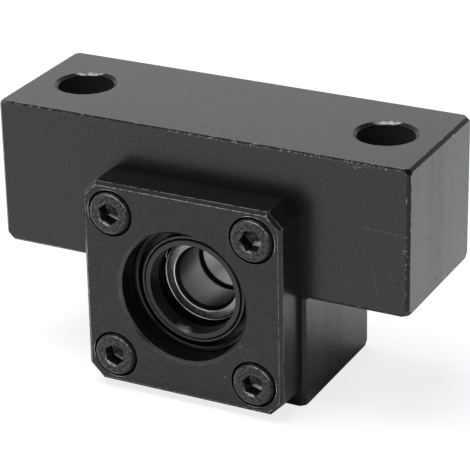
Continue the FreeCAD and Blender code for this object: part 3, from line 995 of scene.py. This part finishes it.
def screw_half_section():
    """Points from the socket's floor, over the head and down the shank: radius, height, rule."""
    points = [(0, -SOCKET_DEPTH - SOCKET_CONE_DEPTH, None),
              (SOCKET_FLATS / 2, -SOCKET_DEPTH, "hexagon"),
              (SOCKET_FLATS / 2, 0, "mouth"), (MOUTH_RADIUS, 0, None)]
    for step in range(ROUNDING_STEPS + 1):
        turn = math.pi / 2 * step / ROUNDING_STEPS
        points.append((HEAD_RADIUS - HEAD_ROUNDING * (1 - math.sin(turn)),
                       -HEAD_ROUNDING * (1 - math.cos(turn)), None))
    knurl_top = -HEAD_ROUNDING * 1.5
    knurl_foot = HEAD_ROUNDING - HEAD_HEIGHT
    points += [(HEAD_RADIUS, knurl_top, "knurl"), (HEAD_RADIUS, knurl_foot, "knurl"),
               (HEAD_RADIUS - HEAD_ROUNDING / 2, -HEAD_HEIGHT, None),
               (SHANK_RADIUS, -HEAD_HEIGHT, None)]
    thread_top = -HEAD_HEIGHT - THREAD_PITCH
    thread_foot = -HEAD_HEIGHT - SCREW_LENGTH + TIP_CHAMFER
    rows = round((thread_top - thread_foot) / THREAD_PITCH * THREAD_ROWS_PER_PITCH)
    points.append((SHANK_RADIUS, thread_top + THREAD_PITCH / 2, None))
    for row in range(rows + 1):
        height = thread_top + (thread_foot - thread_top) * row / rows
        points.append((SHANK_RADIUS, height, "thread"))
    tip = -HEAD_HEIGHT - SCREW_LENGTH
    points += [(SHANK_RADIUS - TIP_CHAMFER, tip, None), (0, tip, None)]
    return points


def chain_mesh(name, points):
    """The half section as a chain of edges, with one attribute for each rule."""
    mesh = bpy.data.meshes.new(name)
    mesh.from_pydata([(radius * MM, 0, height * MM) for radius, height, rule in points],
                     [(index, index + 1) for index in range(len(points) - 1)], [])
    for name_of_rule in RULES:
        marks = mesh.attributes.new(name_of_rule, "FLOAT", "POINT")
        marks.data.foreach_set("value", [float(rule == name_of_rule) for *place, rule in points])
    return mesh


half_section = screw_half_section()
print("half section of a screw:", len(half_section), "points")

# %% [markdown]
# ## Screw finish
# The screws are blackened too, but turned and not milled, so fine rings run round each of them.
# Object coordinates can't tell one screw's axis from another's. So the tree stores how far each
# point lies from its own axis, in an attribute named turning, and the finish reads that. Rims
# that face upwards are rubbed bright in specks, partly as wear and partly as a painted highlight,
# a painted glint lies in each socket's mouth, and the right of each rim is less glossy, as painted
# shade.

# %% Blackened screw steel
SCREW_BLACK = 0.001
SCREW_GREY = 0.022
SCREW_BARE_AND_GLINT_STEEL = 0.5
SPECKLE_RANGE = (0.36, 0.68)
RING_RANGE = (0.38, 0.62)
UPWARD_RANGE = (0.42, 0.54, 0.04, 1.0)
RUBBED_RANGE = (0.35, 0.6, 0.2, 0.6)
PAINTED_GLINT_SHARE = 0.8
HEAD_SHINE_RANGE = (0.2, 0.8, 0.22, 0.7)
SOCKET_SHINE_RANGE = (0.3, 0.8, 0.28, 0.8)
RIGHT_RIM_SHINE = 0.08


def screw_finish():
    """Blackened screw steel with turning rings, worn and painted bright as a highlight on slopes
    that face upwards, with a painted glint in each socket.
    """
    material, tree, shader = new_finish("blackened_screw", IOR=1.45)
    where = place_on_part(tree)
    turning = add(tree, "ShaderNodeAttribute", attribute_name="turning").outputs["Fac"]
    radius = product(tree, turning, 1 / MM)
    clouds = grain(tree, where, 0.9)
    specks = ramp(tree, grain(tree, where, 2.0, detail=4.0, roughness=0.7), *SPECKLE_RANGE)
    rings = ramp(tree, grain(tree, point(tree, radius), 2.8, detail=1.0), *RING_RANGE)
    mixed = between(tree, 0.2, between(tree, 0.7, clouds, specks), rings)

    facing = parts_of(tree, facing_on_part(tree))
    outward = product(tree, facing["Y"], -1.0)
    half_right = product(tree, facing["X"], 0.5)
    # Slopes of the rim that face upwards are bare in specks: partly wear, partly a painted
    # highlight.
    sloped = product(tree, ramp(tree, outward, 0.74, 0.8), ramp(tree, outward, 0.95, 0.91))
    upward = ramp(tree, sum_of(tree, "ADD", facing["Z"], half_right), *UPWARD_RANGE)
    rim = product(tree, sloped, upward, ramp(tree, specks, *RUBBED_RANGE))
    # Painted glint: bare, metallic steel on the socket's floor where it faces up and to the left.
    up_left = sum_of(tree, "SUBTRACT", facing["Z"], half_right)
    painted_glint = product(tree, ramp(tree, up_left, 0.18, 0.26), ramp(tree, outward, 0.85, 0.9),
                    ramp(tree, radius, MOUTH_RADIUS - 0.17, MOUTH_RADIUS - 0.27), PAINTED_GLINT_SHARE)
    rubbed = largest(tree, rim, painted_glint)
    coat = blend(tree, mixed, grey(SCREW_BLACK), grey(SCREW_GREY))
    coat = blend(tree, rubbed, coat, grey(SCREW_BARE_AND_GLINT_STEEL))

    inside = ramp(tree, radius, MOUTH_RADIUS + 0.02, MOUTH_RADIUS - 0.02)
    # Painted shade: the right of the rim is made less glossy.
    right_rim = product(tree, ramp(tree, radius, HEAD_RADIUS - 0.65, HEAD_RADIUS - 0.3),
                        ramp(tree, facing["X"], 0.02, 0.3))
    shine = between(tree, right_rim, ramp(tree, mixed, *HEAD_SHINE_RANGE), RIGHT_RIM_SHINE)
    shine = between(tree, inside, shine, ramp(tree, specks, *SOCKET_SHINE_RANGE))
    relief = bump(tree, 0.5, 0.02, sum_of(tree, "ADD", specks, rings))
    join(tree, shader, Base_Color=coat, Metallic=rubbed, Roughness=between(tree, mixed, 0.22, 0.5),
         Specular_IOR_Level=shine, Normal=relief)
    return material


# %% [markdown]
# ## Screw tree
# A grid with one column of points for each step round the axis and one row for each point of
# the half section is a flat sheet. Each of its points looks up its own row in the half section,
# lets the row's rule move it, and goes to its angle round the axis. Where the sheet meets
# itself, its doubles are merged, which closes the screw. The four corners of a small grid then
# carry one screw each, turned as the sockets stand in the photograph.

# %% Sizes of the screws
STEPS_AROUND = 96
MOUTH_SLOPE = 0.6
KNURL_DEPTH = 0.07
THREAD_DEPTH = 0.4
MERGE_DISTANCE = 0.002
CREASE_ANGLE = 24.0
CORNER_TURNS = {"Lower Left": 36.5, "Upper Left": 40.0, "Lower Right": 46.5, "Upper Right": 3.5}

screw_low, screw_high = edges_of("cover_screws")
SCREW_SIZES = {
    "Steps Around": STEPS_AROUND,
    "Mouth Radius": MOUTH_RADIUS * MM,
    "Mouth Slope": MOUTH_SLOPE,
    "Knurl Count": STEPS_AROUND // 2,
    "Knurl Depth": KNURL_DEPTH * MM,
    "Thread Pitch": THREAD_PITCH * MM,
    "Thread Depth": THREAD_DEPTH * MM,
    "Screw Offset": (screw_high[0] - HEAD_RADIUS) * MM,
    "Head Top": screw_low[1] * MM,
    "Finish": screw_finish(),
}
for corner, degrees in CORNER_TURNS.items():
    SCREW_SIZES[corner] = math.radians(degrees)
print("screw axes", round(screw_high[0] - HEAD_RADIUS, 2), "mm from the bearing axis each way")


# %% Surface of one screw
def at_section_row(tree, section, row, value, kind):
    """What the half section holds at one of its points."""
    inputs = {"Geometry": section, "Value": value, "Index": row}
    return output_of(tree, "GeometryNodeSampleIndex", inputs, data_type=kind)


def rule_share(tree, section, row, rule):
    """How far a point of the half section follows one of the rules."""
    named = output_of(tree, "GeometryNodeInputNamedAttribute", {"Name": rule}, data_type="FLOAT")
    return at_section_row(tree, section, row, named, "FLOAT")


def surface_of_screw(tree, given, row, share, angle):
    """How far from the axis and how high the surface lies, at a row and an angle."""
    section = given["Geometry"]
    position = output_of(tree, "GeometryNodeInputPosition")
    parts = parts_of(tree, at_section_row(tree, section, row, position, "FLOAT_VECTOR"))
    hexagon, mouth, knurl, thread = [rule_share(tree, section, row, rule) for rule in RULES]

    from_corner = sum_of(tree, "ADD", angle, math.pi / 6)
    from_flat = sum_of(tree, "WRAP", from_corner, math.pi / 6, -math.pi / 6)
    corner = sum_of(tree, "DIVIDE", 1.0, sum_of(tree, "COSINE", from_flat))
    six_sided = between(tree, sum_of(tree, "ADD", hexagon, mouth), 1.0, corner)
    radius = product(tree, parts["X"], six_sided)
    wave = sum_of(tree, "COSINE", product(tree, angle, given["Knurl Count"]))
    groove = product(tree, ramp(tree, wave, 1.0, -1.0), given["Knurl Depth"], knurl)
    radius = sum_of(tree, "SUBTRACT", radius, groove)
    turns = sum_of(tree, "DIVIDE", parts["Z"], given["Thread Pitch"])
    turns = sum_of(tree, "PINGPONG", sum_of(tree, "SUBTRACT", turns, share), 0.5)
    groove = product(tree, turns, given["Thread Depth"], 2.0, thread)
    radius = sum_of(tree, "SUBTRACT", radius, groove)
    inwards = sum_of(tree, "SUBTRACT", given["Mouth Radius"], radius)
    cone = product(tree, inwards, given["Mouth Slope"], mouth)
    return radius, sum_of(tree, "SUBTRACT", parts["Z"], cone)


def screw_shape(tree, given):
    """One screw round the Z axis: the wrapped sheet, closed, with its sharp edges kept."""
    section_size = add(tree, "GeometryNodeAttributeDomainSize", {"Geometry": given["Geometry"]})
    rows = section_size.outputs["Point Count"]
    around = given["Steps Around"]
    columns = whole(tree, "ADD", around, 1)
    sheet = output_of(tree, "GeometryNodeMeshGrid", {"Vertices X": columns, "Vertices Y": rows})
    index = output_of(tree, "GeometryNodeInputIndex")
    share = sum_of(tree, "DIVIDE", whole(tree, "DIVIDE_FLOOR", index, rows), around)
    angle = product(tree, share, 2 * math.pi)
    radius, height = surface_of_screw(tree, given, whole(tree, "MODULO", index, rows), share, angle)
    marked = output_of(tree, "GeometryNodeStoreNamedAttribute",
                       {"Geometry": sheet, "Name": "turning", "Value": radius},
                       data_type="FLOAT", domain="POINT")
    place = round_z(tree, radius, angle, height)
    wrapped = output_of(tree, "GeometryNodeSetPosition", {"Geometry": marked, "Position": place})
    closed = output_of(tree, "GeometryNodeMergeByDistance",
                       {"Geometry": wrapped, "Distance": MERGE_DISTANCE * MM})
    outward = output_of(tree, "GeometryNodeFlipFaces", {"Mesh": closed})
    bend = output_of(tree, "GeometryNodeInputMeshEdgeAngle")
    sharp = sum_of(tree, "GREATER_THAN", bend, math.radians(CREASE_ANGLE))
    inputs = {"Geometry": smooth_shape(tree, outward), "Selection": sharp, "Shade Smooth": False}
    return output_of(tree, "GeometryNodeSetShadeSmooth", inputs, domain="EDGE")


# %% Four screws
def screw_tree():
    """Stands one screw on each corner of the cover, turned as its socket stands."""
    tree, given = tree_for("cover_screw_maker", SCREW_SIZES)
    span = product(tree, given["Screw Offset"], 2.0)
    corners = output_of(tree, "GeometryNodeMeshGrid",
                        {"Size X": span, "Size Y": span, "Vertices X": 2, "Vertices Y": 2})
    turn = add(tree, "GeometryNodeIndexSwitch", data_type="FLOAT")
    while len(turn.index_switch_items) < len(CORNER_TURNS):
        turn.index_switch_items.new()
    tree.links.new(output_of(tree, "GeometryNodeInputIndex"), turn.inputs["Index"])
    for item, corner in enumerate(CORNER_TURNS):
        tree.links.new(given[corner], turn.inputs[str(item)])
    turned = output_of(tree, "FunctionNodeAxisAngleToRotation",
                       {"Axis": (0, 0, 1), "Angle": turn.outputs[0]})
    inputs = {"Points": corners, "Instance": screw_shape(tree, given), "Rotation": turned}
    four = output_of(tree, "GeometryNodeInstanceOnPoints", inputs)
    close_tree(tree, stand_up(tree, four, given["Head Top"]), given["Finish"])
    return tree


screws = plain_mesh("socket_head_screws", screw_tree(), SCREW_SIZES,
                    chain_mesh("screw_half_section", half_section))
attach(screws, "support")
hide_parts("cover_screws")

# %% [markdown]
# ## Garter springs
# Round each seal lip lies a spring of fine wire, wound close and joined into a ring, which draws
# the lip in. Its solid in the frame is a smooth ring of the coil's outer size. The wire follows
# a plain rule, a helix bent into a circle, so the tree moves the points of a curve circle onto it
# and gives the curve a round section.

# %% Wound wire
WIRE_DIAMETER = 0.13
WINDING_PITCH = 0.15
STEPS_PER_TURN = 10
WIRE_SIDES = 6


def spring_finish():
    """Bright spring wire under a trace of grease."""
    material, tree, shader = new_finish("spring_wire", Metallic=1.0)
    film = grain(tree, place_on_part(tree), 1.5)
    join(tree, shader, Base_Color=blend(tree, film, grey(0.05), grey(0.16)),
         Roughness=between(tree, film, 0.25, 0.4))
    return material


def spring_sizes(node_name, finish):
    """The sizes of one spring, read from the solid ring that it stands for."""
    low, high = edges_of(node_name)
    coil_radius = (high[1] - low[1]) / 2
    ring_radius = high[0] - coil_radius
    return {
        "Ring Radius": ring_radius * MM,
        "Winding Radius": (coil_radius - WIRE_DIAMETER / 2) * MM,
        "Wire Radius": WIRE_DIAMETER / 2 * MM,
        "Turns": round(2 * math.pi * ring_radius / WINDING_PITCH),
        "Steps per Turn": STEPS_PER_TURN,
        "Wire Sides": WIRE_SIDES,
        "Depth": (low[1] + high[1]) / 2 * MM,
        "Finish": finish,
    }


def spring_tree(sizes):
    """Moves the points of a circle onto a helix that runs round it, and makes it a wire."""
    tree, given = tree_for("garter_spring_maker", sizes)
    steps = whole(tree, "MULTIPLY", given["Turns"], given["Steps per Turn"])
    ring = output_of(tree, "GeometryNodeCurvePrimitiveCircle",
                     {"Resolution": steps, "Radius": given["Ring Radius"]})
    share = sum_of(tree, "DIVIDE", output_of(tree, "GeometryNodeInputIndex"), steps)
    angle = product(tree, share, 2 * math.pi)
    winding = product(tree, angle, given["Turns"])
    out = product(tree, sum_of(tree, "COSINE", winding), given["Winding Radius"])
    height = product(tree, sum_of(tree, "SINE", winding), given["Winding Radius"])
    place = round_z(tree, sum_of(tree, "ADD", given["Ring Radius"], out), angle, height)
    wound = output_of(tree, "GeometryNodeSetPosition", {"Geometry": ring, "Position": place})
    section = output_of(tree, "GeometryNodeCurvePrimitiveCircle",
                        {"Resolution": given["Wire Sides"], "Radius": given["Wire Radius"]})
    wire = output_of(tree, "GeometryNodeCurveToMesh", {"Curve": wound, "Profile Curve": section})
    smooth = smooth_shape(tree, wire)
    close_tree(tree, stand_up(tree, smooth, given["Depth"]), given["Finish"])
    return tree


wire_finish = spring_finish()
spring_maker = spring_tree(spring_sizes("front_seal_spring", wire_finish))
for side in ("front", "rear"):
    solid = side + "_seal_spring"
    start = bpy.data.meshes.new(side + "_spring_start")
    spring = plain_mesh(side + "_garter_spring", spring_maker,
                        spring_sizes(solid, wire_finish), start)
    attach(spring, "support")
    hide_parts(solid)
